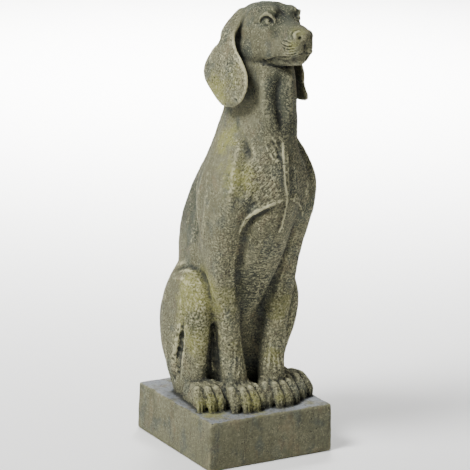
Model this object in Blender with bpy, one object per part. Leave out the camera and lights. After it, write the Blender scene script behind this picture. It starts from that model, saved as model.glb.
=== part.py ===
"""A seated hound on a low block plinth, cast in one piece for the garden.

The dog faces -Y, its right side is -X, and the frame's origin is the middle of the plinth's underside.
The figure is built as a modeller in clay would: lofted and rounded masses are pressed together and
smoothed, the small forms of head and paws are added, and the grooves and ridges are drawn in last.
Every place and size on the figure is a share of FIGURE_HEIGHT, from the plinth's top.
"""

import math

import bmesh
import bpy
import numpy as np
from mathutils import Matrix, Vector
from mathutils.bvhtree import BVHTree

# Driving sizes, in metres
FIGURE_HEIGHT = 0.5375
PLINTH_WIDTH = 0.1875
PLINTH_DEPTH = 0.1985
PLINTH_HEIGHT = 0.065
PLINTH_EDGE = 0.003
PLINTH_DRAFT = math.radians(1.2)

# Working grain of the clay for the big masses, for the ears, and for the face and the feet
COARSE_GRAIN = 0.0062 * FIGURE_HEIGHT
FINE_GRAIN = 0.0036 * FIGURE_HEIGHT
FACE_GRAIN = 0.0022 * FIGURE_HEIGHT
BODY_TRIANGLES = 4800
HEAD_TRIANGLES = 2500
PAW_TRIANGLES = 440

# The head's pose: its centre, and how far it turns to the dog's left
HEAD_CENTRE = Vector((0.0, -0.110, 0.925))
HEAD_TURN = math.radians(5)

# The forelegs drift towards the dog's left as they go down, and the left feet stand further forward
FORELEG_DRIFT = 0.012
FOREPAW_DRIFT = 0.010
FORELEG_TOP = 0.45
STRIDE = 0.006
LEFT_EAR_SWING = Vector((-0.008, 0.022, 0))

LEFT = Vector((1, 0, 0))
SIDES = (-1, 1)

# The toes of a foot. A toe goes from root to tip by its reach to the side, its y from the line of the
# tips, its z and its radius
TOES = 4
TOE_PATH = (
    (0.022, 0.082, 0.048, 0.0100),
    (0.032, 0.052, 0.043, 0.0125),
    (0.037, 0.028, 0.029, 0.0128),
    (0.0385, 0.013, 0.013, 0.0118),
    (0.0385, 0.011, -0.010, 0.0105),
)
# How far the middle toes stand ahead of the outer ones, and where on the toe that starts
TOE_LEAD = 0.014
TOE_LEAD_START = 0.080
TOE_LEAD_RUN = 0.030

EYE_RADIUS = 0.0098

# A drawn line rises from this share of its height over this share of its length
LINE_END = 0.15
LINE_FADE = 0.25

# Grey-green, in linear light
STONE_COLOUR = (0.165, 0.160, 0.105, 1)
STONE_ROUGHNESS = 0.92


def clear_scene():
    for thing in list(bpy.data.objects):
        bpy.data.objects.remove(thing, do_unlink=True)


def head_axes():
    """Forward, left and up of the head, as unit vectors."""
    turn = Matrix.Rotation(HEAD_TURN, 3, "Z")
    return turn @ Vector((0, -1, 0)), turn @ LEFT, turn @ Vector((0, 0, 1))


def on_head(forward, left, up):
    """A point of the head, given along the head's own axes."""
    axes = head_axes()
    return HEAD_CENTRE + axes[0] * forward + axes[1] * left + axes[2] * up


def new_object(name, mesh_data):
    piece = bpy.data.objects.new(name, mesh_data)
    bpy.context.scene.collection.objects.link(piece)
    return piece


def through(rows, steps):
    """Rows of numbers read along a smooth curve through the given rows."""
    rows = [np.asarray(row, float) for row in rows]
    ends = [2 * rows[0] - rows[1]] + rows + [2 * rows[-1] - rows[-2]]
    out = []
    for before, start, stop, after in zip(ends, ends[1:], ends[2:], ends[3:]):
        for step in range(steps):
            t = step / steps
            out.append(
                0.5
                * (
                    2 * start
                    + (stop - before) * t
                    + (2 * before - 5 * start + 4 * stop - after) * t**2
                    + (3 * start - before - 3 * stop + after) * t**3
                )
            )
    return out + [rows[-1]]


def loft(name, stations, side=LEFT, fullness=2.2, around=28, steps=4):
    """A closed skin over rings. A station is (one edge, opposite edge, half thickness towards side)."""
    rows = [[*one, *other, thick] for one, other, thick in stations]
    shape = bmesh.new()
    rings = []
    for row in through(rows, steps):
        one, other, thick = Vector(row[:3]), Vector(row[3:6]), max(row[6], 1e-4)
        middle, reach = (one + other) / 2, (other - one) / 2
        across = side - side.project(reach)
        across = across.normalized() * thick
        ring = []
        for k in range(around):
            angle = 2 * math.pi * k / around
            c, s = math.cos(angle), math.sin(angle)
            c = math.copysign(abs(c) ** (2 / fullness), c)
            s = math.copysign(abs(s) ** (2 / fullness), s)
            ring.append(shape.verts.new((middle + reach * s + across * c) * FIGURE_HEIGHT))
        rings.append(ring)
    for ring, after in zip(rings, rings[1:]):
        for k in range(around):
            shape.faces.new((ring[k - 1], ring[k], after[k], after[k - 1]))
    shape.faces.new(rings[0])
    shape.faces.new(list(reversed(rings[-1])))
    return finish_clay(name, shape)


def blob(name, centre, radii, turn=Matrix.Identity(3)):
    """A rounded mass with three radii, turned by a 3 by 3 matrix."""
    shape = bmesh.new()
    bmesh.ops.create_uvsphere(shape, u_segments=28, v_segments=18, radius=1)
    grow = Matrix.Diagonal(Vector(radii)) * FIGURE_HEIGHT
    bmesh.ops.transform(shape, matrix=(turn @ grow).to_4x4(), verts=shape.verts)
    bmesh.ops.translate(shape, vec=Vector(centre) * FIGURE_HEIGHT, verts=shape.verts)
    return finish_clay(name, shape)


def finish_clay(name, shape):
    bmesh.ops.recalc_face_normals(shape, faces=shape.faces)
    data = bpy.data.meshes.new(name)
    shape.to_mesh(data)
    shape.free()
    return new_object(name, data)


def fuse(name, masses, grain, passes):
    """Presses masses into one skin of even grain and smooths it over."""
    shape = bmesh.new()
    for mass in masses:
        shape.from_mesh(mass.data)
        bpy.data.objects.remove(mass, do_unlink=True)
    clay = finish_clay(name, shape)
    remesh = clay.modifiers.new("grain", "REMESH")
    remesh.mode = "VOXEL"
    remesh.voxel_size = grain
    if passes:
        smooth = clay.modifiers.new("thumb", "SMOOTH")
        smooth.factor = 0.5
        smooth.iterations = passes
    return settle(clay)


def draw(skin, lines):
    """Raises lines on the skin, or cuts them in where the height is below zero.

    A line is (path, reach, height). It runs smoothly through its path and fades out at both ends;
    a path of one point makes a round dent or bump.
    """
    count = len(skin.data.vertices)
    places = np.empty(3 * count)
    normals = np.empty(3 * count)
    skin.data.vertices.foreach_get("co", places)
    skin.data.vertices.foreach_get("normal", normals)
    places, normals = places.reshape(-1, 3), normals.reshape(-1, 3)
    tree = BVHTree.FromObject(skin, bpy.context.evaluated_depsgraph_get())
    for path, reach, height in lines:
        reach *= FIGURE_HEIGHT
        steps = through(path, 5) if len(path) > 1 else path * 2
        line = np.array([tree.find_nearest(Vector(point) * FIGURE_HEIGHT)[0] for point in steps])
        inside = (places > line.min(axis=0) - reach).all(axis=1)
        inside &= (places < line.max(axis=0) + reach).all(axis=1)
        chosen = np.nonzero(inside)[0]
        near = np.full(len(chosen), np.inf)
        way = np.zeros(len(chosen))
        done = 0
        for start, stop in zip(line, line[1:]):
            run = stop - start
            length = math.sqrt(run @ run) + 1e-9
            along = np.clip((places[chosen] - start) @ run / length**2, 0, 1)
            gap = places[chosen] - start - along[:, None] * run
            apart = np.sqrt((gap * gap).sum(axis=1))
            way = np.where(apart < near, done + along * length, way)
            near = np.minimum(near, apart)
            done += length
        fall = np.clip(1 - (near / reach) ** 2, 0, 1) ** 2
        if len(path) > 1:
            fall *= np.clip(np.minimum(way, done - way) / (LINE_FADE * done) + LINE_END, 0, 1)
        places[chosen] += normals[chosen] * (fall * height * FIGURE_HEIGHT)[:, None]
    skin.data.vertices.foreach_set("co", places.ravel())
    skin.data.update()


def settle(piece):
    """The piece with its modifiers made part of its mesh."""
    graph = bpy.context.evaluated_depsgraph_get()
    data = bpy.data.meshes.new_from_object(piece.evaluated_get(graph))
    name = piece.name
    bpy.data.objects.remove(piece, do_unlink=True)
    return new_object(name, data)


def mirrored(stations, sign):
    """Stations written for the dog's left side, on the side that sign names."""
    flip = Vector((sign, 1, 1))
    return [
        (Vector(one) * flip, Vector(other) * flip, thick) for one, other, thick in stations
    ]


def column(rows):
    """Stations from rows of (x, front y, front z, back y, back z, half thickness)."""
    return [((x, fy, fz), (x, by, bz), thick) for x, fy, fz, by, bz, thick in rows]


def trunk():
    barrel = column(
        [
            (0, -0.046, -0.02, 0.135, -0.02, 0.092),
            (0, -0.046, 0.10, 0.150, 0.09, 0.106),
            (0, -0.052, 0.20, 0.160, 0.19, 0.112),
            (0, -0.082, 0.30, 0.172, 0.31, 0.116),
            (0, -0.125, 0.40, 0.172, 0.42, 0.118),
            (0, -0.150, 0.50, 0.125, 0.53, 0.108),
            (0, -0.165, 0.58, 0.075, 0.61, 0.091),
            (0, -0.165, 0.66, 0.042, 0.69, 0.071),
        ]
    )
    prow = column(
        [
            (0, -0.050, 0.190, 0.02, 0.23, 0.024),
            (0, -0.094, 0.27, 0.0, 0.31, 0.046),
            (0, -0.148, 0.36, -0.02, 0.39, 0.064),
            (0, -0.188, 0.454, -0.05, 0.47, 0.072),
            (0, -0.214, 0.52, -0.06, 0.54, 0.078),
            (0, -0.222, 0.58, -0.06, 0.60, 0.078),
            (0, -0.214, 0.64, -0.06, 0.66, 0.070),
            (0, -0.206, 0.69, -0.05, 0.71, 0.060),
            (0, -0.190, 0.74, -0.04, 0.75, 0.045),
        ]
    )
    neck = column(
        [
            (0, -0.195, 0.60, 0.060, 0.62, 0.082),
            (0, -0.206, 0.68, 0.046, 0.68, 0.077),
            (0, -0.210, 0.74, 0.019, 0.75, 0.068),
            (0.002, -0.203, 0.80, -0.010, 0.82, 0.060),
            (0.003, -0.188, 0.85, -0.025, 0.89, 0.055),
        ]
    )
    return [
        loft("barrel", barrel, fullness=2.3),
        loft("prow", prow, fullness=1.9),
        loft("neck", neck),
    ]


def foreleg(sign):
    rows = [
        (0.046, -0.120, 0.70, -0.030, 0.70, 0.028),
        (0.066, -0.158, 0.640, -0.010, 0.64, 0.042),
        (0.081, -0.180, 0.575, 0.008, 0.58, 0.054),
        (0.086, -0.166, 0.500, 0.014, 0.51, 0.057),
        (0.085, -0.136, 0.43, -0.002, 0.44, 0.050),
        (0.081, -0.115, 0.37, -0.016, 0.37, 0.043),
        (0.077, -0.101, 0.30, -0.030, 0.30, 0.037),
        (0.064, -0.094, 0.20, -0.035, 0.20, 0.0295),
        (0.055, -0.093, 0.13, -0.033, 0.125, 0.031),
        (0.050, -0.101, 0.075, -0.038, 0.065, 0.032),
        (0.047, -0.106, -0.02, -0.040, -0.02, 0.034),
    ]
    placed = []
    for x, front_y, front_z, back_y, back_z, thick in rows:
        low = max(0, 1 - front_z / FORELEG_TOP)
        step = STRIDE * sign * min(1, 2 * low)
        x += FORELEG_DRIFT * sign * low
        placed.append((x, front_y - step, front_z, back_y - step, back_z, thick))
    return [loft("foreleg", mirrored(column(placed), sign), fullness=2.4)]


def hind_leg(sign):
    thigh = [
        (0.098, 0.000, -0.02, 0.085, -0.02, 0.034),
        (0.105, -0.010, 0.05, 0.112, 0.05, 0.040),
        (0.113, -0.020, 0.12, 0.134, 0.12, 0.045),
        (0.115, -0.030, 0.19, 0.142, 0.19, 0.046),
        (0.114, -0.035, 0.25, 0.126, 0.25, 0.045),
        (0.109, -0.030, 0.295, 0.105, 0.30, 0.040),
        (0.098, -0.005, 0.330, 0.080, 0.345, 0.030),
        (0.088, 0.015, 0.350, 0.055, 0.360, 0.014),
    ]
    shank = [
        (0.112, -0.010, 0.330, 0.040, 0.340, 0.018),
        (0.119, -0.044, 0.300, 0.045, 0.310, 0.031),
        (0.125, -0.064, 0.25, 0.046, 0.25, 0.035),
        (0.123, -0.060, 0.185, 0.050, 0.185, 0.033),
        (0.116, -0.046, 0.13, 0.055, 0.13, 0.028),
        (0.111, -0.036, 0.09, 0.058, 0.08, 0.025),
        (0.108, -0.036, 0.05, 0.062, 0.04, 0.027),
        (0.108, -0.045, -0.02, 0.062, -0.02, 0.028),
    ]
    return [
        loft("thigh", mirrored(column(thigh), sign), fullness=2.4),
        loft("shank", mirrored(column(shank), sign), fullness=2.2),
    ]


def tail():
    path = [
        (0.000, 0.120, 0.12, 0.026),
        (0.004, 0.148, 0.06, 0.024),
        (0.030, 0.158, 0.022, 0.021),
        (0.075, 0.158, 0.014, 0.018),
        (0.120, 0.150, 0.012, 0.015),
        (0.150, 0.118, 0.010, 0.012),
        (0.158, 0.080, 0.008, 0.007),
    ]
    return [
        loft(
            "tail",
            [((x, y, z - r), (x, y, z + r), r) for x, y, z, r in path],
            side=Vector((0.35, 1, 0)),
        )
    ]


def paw(sign, x, toe_y, heel_y, breadth):
    """A foot: its back, sloping down to the front, and its four toes."""
    rows = [
        (x, heel_y, -0.02, heel_y, 0.050, breadth - 0.004),
        (x, heel_y - 0.02, -0.02, heel_y - 0.015, 0.060, breadth),
        (x, toe_y + 0.074, -0.02, toe_y + 0.084, 0.055, breadth + 0.001),
        (x, toe_y + 0.048, -0.02, toe_y + 0.058, 0.034, 0.038),
        (x, toe_y + 0.028, -0.02, toe_y + 0.034, 0.014, 0.038),
        (x, toe_y + 0.008, -0.02, toe_y + 0.012, 0.005, 0.036),
    ]
    pieces = [loft("instep", mirrored(column(rows), sign))]
    for k in range(TOES):
        spread = 2 * k / (TOES - 1) - 1
        lead = TOE_LEAD * (1 - spread * spread)
        stations = []
        for reach, y, z, radius in TOE_PATH:
            ahead = lead * min(1, (TOE_LEAD_START - y) / TOE_LEAD_RUN)
            place = Vector((x + spread * reach, toe_y + y - ahead, z))
            rise = Vector((0, -0.5, 1)).normalized() * radius * 1.15
            stations.append((place - rise, place + rise, radius))
        pieces.append(loft("toe", mirrored(stations, sign)))
    foot = fuse("paw", pieces, FACE_GRAIN, 5)
    return thinned(foot, PAW_TRIANGLES)


def head_rows(rows):
    """Stations along the head from rows of (forward, low, high, half thickness)."""
    return [(on_head(f, 0, low), on_head(f, 0, high), thick) for f, low, high, thick in rows]


def head():
    left = head_axes()[1]
    turn = Matrix(head_axes()).transposed()
    skull = [
        (-0.085, -0.030, 0.012, 0.018),
        (-0.070, -0.050, 0.042, 0.040),
        (-0.040, -0.062, 0.062, 0.053),
        (0.000, -0.070, 0.071, 0.058),
        (0.030, -0.072, 0.072, 0.057),
        (0.052, -0.072, 0.068, 0.055),
        (0.066, -0.070, 0.057, 0.052),
        (0.078, -0.066, 0.044, 0.045),
        (0.092, -0.058, 0.037, 0.037),
        (0.112, -0.052, 0.034, 0.034),
        (0.132, -0.046, 0.029, 0.032),
        (0.146, -0.041, 0.020, 0.027),
        (0.153, -0.034, 0.012, 0.020),
        (0.157, -0.022, 0.002, 0.008),
    ]
    jaw = [
        (0.000, -0.088, -0.050, 0.042),
        (0.040, -0.078, -0.050, 0.036),
        (0.080, -0.069, -0.040, 0.027),
        (0.110, -0.065, -0.035, 0.023),
        (0.132, -0.061, -0.030, 0.019),
        (0.146, -0.055, -0.028, 0.012),
    ]
    pieces = [
        loft("skull", head_rows(skull), side=left, fullness=2.7),
        loft("jaw", head_rows(jaw), side=left),
        blob("nose", on_head(0.142, 0, 0.007), (0.019, 0.021, 0.016), turn),
    ]
    for sign in SIDES:
        pieces += [
            blob("cheek", on_head(0.000, 0.034 * sign, -0.032), (0.050, 0.026, 0.046), turn),
            blob("cheekbone", on_head(0.036, 0.040 * sign, 0.010), (0.036, 0.016, 0.018), turn),
            blob("brow", on_head(0.054, 0.027 * sign, 0.055), (0.019, 0.016, 0.015), turn),
            blob("temple", on_head(0.052, 0.040 * sign, 0.042), (0.020, 0.012, 0.016), turn),
            blob("flew", on_head(0.118, 0.016 * sign, -0.030), (0.037, 0.018, 0.016), turn),
        ]
    return pieces


def socket_lines(sign):
    """The eye's socket and the hollow in front of it, along the head's own axes."""
    socket = [(0.055, 0.053, 0.034), (0.074, 0.045, 0.036)]
    eye_hollow = [(0.082, 0.036, 0.018), (0.094, 0.036, 0.000)]
    lines = [(socket, 0.014, -0.007), (eye_hollow, 0.018, -0.004)]
    return [([on_head(f, l * sign, u) for f, l, u in path], w, h) for path, w, h in lines]


def eye(sign):
    """An eyeball between two lids, each lid a round cord given by forward, left, up and radius."""
    upper = [
        (0.040, 0.0530, 0.0280, 0.0030),
        (0.050, 0.0515, 0.0425, 0.0048),
        (0.063, 0.0455, 0.0520, 0.0060),
        (0.074, 0.0385, 0.0490, 0.0054),
        (0.081, 0.0335, 0.0350, 0.0036),
    ]
    lower = [
        (0.042, 0.0530, 0.0265, 0.0026),
        (0.054, 0.0510, 0.0230, 0.0038),
        (0.067, 0.0460, 0.0230, 0.0038),
        (0.079, 0.0370, 0.0285, 0.0030),
    ]
    forms = [blob("eyeball", on_head(0.0625, 0.0410 * sign, 0.0355), (EYE_RADIUS,) * 3)]
    for path in (upper, lower):
        stations = [(on_head(f, l * sign, u - r), on_head(f, l * sign, u + r), r) for f, l, u, r in path]
        forms.append(loft("lid", stations, side=head_axes()[1], fullness=2.0))
    return forms


def face_lines(sign):
    """Lines of the face on one side, along the head's own axes."""
    lips_front = [(0.150, 0.002, -0.034), (0.147, 0.017, -0.044), (0.126, 0.028, -0.051)]
    lips_back = [(0.126, 0.028, -0.051), (0.092, 0.036, -0.058), (0.050, 0.042, -0.064)]
    mouth_corner = [(0.048, 0.042, -0.064)]
    nostril = [(0.152, 0.015, 0.006)]
    nostril_wing = [
        (0.149, 0.022, 0.004),
        (0.143, 0.023, 0.012),
        (0.142, 0.017, 0.019),
        (0.150, 0.010, 0.019),
    ]
    lid_fold = [(0.040, 0.0530, 0.038), (0.052, 0.0520, 0.055), (0.066, 0.0430, 0.060)]
    lines = [
        (lid_fold, 0.009, 0.003),
        (nostril_wing, 0.007, 0.004),
        (lips_front, 0.008, -0.005),
        (lips_back, 0.008, -0.004),
        (mouth_corner, 0.008, -0.006),
        (nostril, 0.007, -0.006),
    ]
    return [([on_head(f, l * sign, u) for f, l, u in path], w, h) for path, w, h in lines]


def middle_lines():
    """Lines down the middle of the head: the furrow of the brow and the parting of the upper lip."""
    furrow = [on_head(0.030, 0, 0.074), on_head(0.058, 0, 0.062), on_head(0.076, 0, 0.044)]
    lip = [on_head(0.158, 0, -0.004), on_head(0.154, 0, -0.018), on_head(0.150, 0, -0.036)]
    return [(furrow, 0.016, -0.006), (lip, 0.010, -0.009)]


def chest_lines():
    """The keel of the breastbone and the ledge of the chest to either side of its end."""
    keel = [
        (-0.005, -0.205, 0.683),
        (0.000, -0.213, 0.636),
        (0.001, -0.221, 0.589),
        (0.003, -0.218, 0.545),
    ]
    keel_end = [(0.003, -0.218, 0.545), (0.006, -0.206, 0.501), (0.010, -0.180, 0.445)]
    right_ledge = [
        (0.003, -0.218, 0.545),
        (-0.031, -0.207, 0.534),
        (-0.055, -0.183, 0.517),
        (-0.072, -0.162, 0.490),
        (-0.075, -0.141, 0.449),
    ]
    under_ledge = [(x + 0.004, y, z - 0.016) for x, y, z in right_ledge[1:]]
    left_ledge = [(0.003, -0.218, 0.545), (0.034, -0.207, 0.540), (0.064, -0.185, 0.515)]
    return [
        (keel, 0.013, 0.005),
        (keel_end, 0.010, 0.003),
        (right_ledge, 0.012, 0.006),
        (under_ledge, 0.012, -0.006),
        (left_ledge, 0.010, 0.003),
    ]


def neck_lines():
    """The loose skin under the throat: two folds with a furrow between."""
    right_fold = [
        (-0.034, -0.168, 0.845),
        (-0.041, -0.178, 0.800),
        (-0.042, -0.186, 0.754),
        (-0.031, -0.198, 0.712),
    ]
    furrow = [
        (-0.008, -0.188, 0.837),
        (-0.018, -0.197, 0.797),
        (-0.018, -0.202, 0.760),
        (-0.009, -0.206, 0.703),
    ]
    left_fold = [
        (0.020, -0.180, 0.847),
        (0.012, -0.198, 0.811),
        (0.009, -0.207, 0.766),
        (0.010, -0.208, 0.725),
    ]
    return [(right_fold, 0.020, 0.006), (furrow, 0.016, -0.010), (left_fold, 0.016, 0.006)]


def side_lines(sign):
    """Crest and creases of one side: along and behind the arm, inside it, at knee and shank."""
    arm_crest = [
        (0.128, -0.077, 0.596),
        (0.138, -0.091, 0.563),
        (0.141, -0.096, 0.528),
        (0.140, -0.082, 0.476),
        (0.128, -0.054, 0.430),
        (0.116, -0.026, 0.386),
    ]
    behind_arm = [
        (0.118, -0.030, 0.640),
        (0.130, -0.022, 0.560),
        (0.138, -0.010, 0.490),
        (0.137, 0.000, 0.420),
        (0.125, 0.000, 0.360),
    ]
    inside_arm = [
        (0.066, -0.150, 0.470),
        (0.060, -0.120, 0.400),
        (0.055, -0.095, 0.330),
        (0.045, -0.085, 0.250),
    ]
    knee = [
        (0.140, 0.077, 0.308),
        (0.137, 0.051, 0.325),
        (0.128, 0.027, 0.335),
        (0.118, 0.006, 0.335),
        (0.111, -0.017, 0.325),
        (0.110, -0.045, 0.306),
        (0.107, -0.060, 0.270),
    ]
    behind_shank = [
        (0.155, -0.010, 0.215),
        (0.153, 0.005, 0.150),
        (0.147, 0.025, 0.080),
        (0.140, 0.034, 0.040),
    ]
    lines = [
        (arm_crest, 0.014, 0.005),
        (behind_arm, 0.024, -0.007),
        (inside_arm, 0.016, -0.007),
        (knee, 0.012, -0.008),
        (behind_shank, 0.013, -0.010),
    ]
    return [([(x * sign, y, z) for x, y, z in path], w, h) for path, w, h in lines]


def ear(sign):
    """A hanging ear, from its root to its tip: front edge, rear edge, half thickness."""
    rows = [
        ((0.034, -0.100, 0.985), (0.038, -0.048, 0.972), 0.011),
        ((0.052, -0.098, 0.962), (0.058, -0.038, 0.945), 0.013),
        ((0.068, -0.094, 0.934), (0.073, -0.034, 0.921), 0.012),
        ((0.077, -0.093, 0.911), (0.081, -0.036, 0.893), 0.011),
        ((0.082, -0.113, 0.886), (0.091, -0.012, 0.868), 0.011),
        ((0.085, -0.149, 0.862), (0.099, 0.004, 0.839), 0.011),
        ((0.087, -0.177, 0.834), (0.104, 0.005, 0.810), 0.011),
        ((0.088, -0.178, 0.803), (0.104, -0.017, 0.787), 0.011),
        ((0.090, -0.156, 0.771), (0.101, -0.055, 0.762), 0.010),
        ((0.092, -0.124, 0.750), (0.097, -0.078, 0.748), 0.007),
    ]
    swing = Vector((0, 0, 0)) if sign < 0 else LEFT_EAR_SWING
    rows = [(Vector(one) + swing, Vector(other) + swing, thick) for one, other, thick in rows]
    web = blob("ear_web", (0.057 * sign, -0.060, 0.862), (0.029, 0.030, 0.085))
    pieces = [loft("ear", mirrored(rows, sign), fullness=2.0), web]
    if sign > 0:
        flare = [
            ((0.082, -0.152, 0.800), (0.084, -0.110, 0.800), 0.008),
            ((0.083, -0.166, 0.782), (0.085, -0.105, 0.780), 0.008),
            ((0.084, -0.173, 0.768), (0.086, -0.105, 0.762), 0.007),
            ((0.085, -0.158, 0.757), (0.087, -0.120, 0.755), 0.004),
        ]
        pieces.append(loft("ear_tip", flare, fullness=2.0))
    return pieces


def plinth():
    """A block with slightly drafted sides and softened edges, standing on z = 0."""
    shape = bmesh.new()
    bmesh.ops.create_cube(shape, size=1)
    inset = math.tan(PLINTH_DRAFT) * PLINTH_HEIGHT
    for vert in shape.verts:
        pull = inset if vert.co.z > 0 else 0
        vert.co.x = math.copysign(PLINTH_WIDTH / 2 - pull, vert.co.x)
        vert.co.y = math.copysign(PLINTH_DEPTH / 2 - pull, vert.co.y)
        vert.co.z = PLINTH_HEIGHT if vert.co.z > 0 else 0
    bmesh.ops.bevel(
        shape, geom=shape.edges, offset=PLINTH_EDGE, segments=2, profile=0.5, affect="EDGES"
    )
    return finish_clay("plinth", shape)


def feet(sign):
    """The fore foot and the hind foot of one side: (x, toe y, heel y, half breadth of its back)."""
    fore = (0.046 + FOREPAW_DRIFT * sign, -0.149, -0.058, 0.033)
    hind = (0.113 + 0.5 * STRIDE * sign, -0.111 - 0.5 * STRIDE * sign, 0.012, 0.036)
    return fore, hind


def thinned(piece, triangles):
    """The piece with about so many triangles, kept where the form turns most."""
    thin = piece.modifiers.new("thin", "DECIMATE")
    thin.ratio = triangles / (2 * len(piece.data.polygons))
    return settle(piece)


def joined(piece, other):
    """The union of two closed pieces, as one closed skin."""
    join = piece.modifiers.new("join", "BOOLEAN")
    join.operation = "UNION"
    join.solver = "EXACT"
    join.object = other
    whole = settle(piece)
    bpy.data.objects.remove(other, do_unlink=True)
    return whole


def weathered_stone():
    """Cast stone gone grey-green outdoors, fully matt."""
    stone = bpy.data.materials.new("weathered cast stone")
    stone.use_nodes = True
    surface = stone.node_tree.nodes["Principled BSDF"]
    surface.inputs["Base Color"].default_value = STONE_COLOUR
    surface.inputs["Roughness"].default_value = STONE_ROUGHNESS
    surface.inputs["Metallic"].default_value = 0
    return stone


def build():
    clear_scene()
    masses = trunk() + tail()
    details = []
    paws = []
    body_lines = neck_lines() + chest_lines()
    sockets = []
    eyes = []
    face = middle_lines()
    for sign in SIDES:
        masses += foreleg(sign) + hind_leg(sign)
        details += ear(sign)
        paws += [paw(sign, *foot) for foot in feet(sign)]
        body_lines += side_lines(sign)
        sockets += socket_lines(sign)
        eyes += eye(sign)
        face += face_lines(sign)
    body = fuse("body", [fuse("trunk", masses, COARSE_GRAIN, 14)] + details, FINE_GRAIN, 3)
    draw(body, body_lines)
    top = fuse("head", head(), FACE_GRAIN, 6)
    draw(top, sockets)
    top = fuse("face", [top] + eyes, FACE_GRAIN, 2)
    draw(top, face)
    figure = joined(thinned(body, BODY_TRIANGLES), thinned(top, HEAD_TRIANGLES))
    for foot in paws:
        figure = joined(figure, foot)
    figure.data.transform(Matrix.Translation((0, 0, PLINTH_HEIGHT)))
    statue = joined(figure, plinth())
    statue.name = "dog_statue"
    statue.data.materials.append(weathered_stone())


build()
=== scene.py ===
import math

import bmesh
import bpy
import numpy as np
from mathutils import Matrix, Vector, noise
from mathutils.bvhtree import BVHTree


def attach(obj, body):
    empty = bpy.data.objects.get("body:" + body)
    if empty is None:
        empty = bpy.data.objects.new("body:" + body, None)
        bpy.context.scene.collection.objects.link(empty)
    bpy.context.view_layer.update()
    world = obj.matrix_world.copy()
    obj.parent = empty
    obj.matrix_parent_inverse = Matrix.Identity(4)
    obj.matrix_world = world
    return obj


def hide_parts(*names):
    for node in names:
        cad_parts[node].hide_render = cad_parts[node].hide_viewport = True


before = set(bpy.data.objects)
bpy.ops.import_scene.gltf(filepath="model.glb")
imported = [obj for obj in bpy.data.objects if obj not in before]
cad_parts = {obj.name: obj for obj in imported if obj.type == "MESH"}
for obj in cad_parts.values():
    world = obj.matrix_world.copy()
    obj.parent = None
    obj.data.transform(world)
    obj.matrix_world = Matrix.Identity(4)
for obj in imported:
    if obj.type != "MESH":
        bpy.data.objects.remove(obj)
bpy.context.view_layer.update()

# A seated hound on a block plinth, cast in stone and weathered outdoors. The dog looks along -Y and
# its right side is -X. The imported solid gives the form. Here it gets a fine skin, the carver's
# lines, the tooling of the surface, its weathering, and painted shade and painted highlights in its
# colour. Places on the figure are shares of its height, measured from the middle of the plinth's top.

FIGURE_HEIGHT = 0.5375
PLINTH_TOP = 0.065
PLINTH_HALF = (0.0915, 0.0970)
HEAD_CENTRE = Vector((0.0, -0.110, 0.925))
HEAD_TURN = math.radians(5)
SIDES = (-1, 1)

# Up to this share of the height above its top, the skin counts as the block's
BLOCK_SKIN = 0.003

# Grain of the working skin, how far it is softened, and the most triangles of the finished one
GRAIN = 0.0011
SOFTENING = 0.0043
SKIN_TRIANGLES = 195000

# The face's middle along the head's own axes, and how far it reaches, in shares
FACE_CENTRE = (0.105, 0, -0.005)
FACE_REACH = 0.090

# How far round a place the figure is looked for, for the painted shade of shut-in places, and in how
# many directions that is looked up
OCCLUSION_SHADE_REACH = 0.060
OCCLUSION_SHADE_RAYS = 28


def at(x, y, z):
    """A place on the figure, in metres."""
    return Vector((x, y, z)) * FIGURE_HEIGHT + Vector((0, 0, PLINTH_TOP))


def on_head(forward, left, up):
    """A place on the head, given along the head's own axes, in metres."""
    return at(*(HEAD_CENTRE + Matrix.Rotation(HEAD_TURN, 3, "Z") @ Vector((left, -forward, up))))


def mm(size):
    return size / 1000


def node(tree, kind, inputs=None, **settings):
    """Adds a node with its settings. An input takes a value or another node's socket."""
    made = tree.nodes.new(kind)
    for name, value in settings.items():
        setattr(made, name, value)
    for name, value in (inputs or {}).items():
        if isinstance(value, bpy.types.NodeSocket):
            tree.links.new(value, made.inputs[name])
        else:
            made.inputs[name].default_value = value
    return made


# The skin

def merged_copy(name):
    """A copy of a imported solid, with its loose triangles merged into one skin."""
    shape = bmesh.new()
    shape.from_mesh(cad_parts[name].data)
    bmesh.ops.remove_doubles(shape, verts=shape.verts, dist=1e-6)
    data = bpy.data.meshes.new("stone skin")
    shape.to_mesh(data)
    shape.free()
    piece = bpy.data.objects.new("weathered_dog_statue", data)
    bpy.context.scene.collection.objects.link(piece)
    return piece


def settle(piece):
    """Makes what the modifiers give the piece's own mesh."""
    graph = bpy.context.evaluated_depsgraph_get()
    data = bpy.data.meshes.new_from_object(piece.evaluated_get(graph))
    piece.modifiers.clear()
    old = piece.data
    piece.data = data
    bpy.data.meshes.remove(old)


def read_vectors(collection, name):
    values = np.empty(3 * len(collection))
    collection.foreach_get(name, values)
    return values.reshape(-1, 3)


def shares_of(piece):
    """Where each point of the skin lies, in shares of the figure's height."""
    places = read_vectors(piece.data.vertices, "co")
    return (places - np.array((0, 0, PLINTH_TOP))) / FIGURE_HEIGHT


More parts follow.
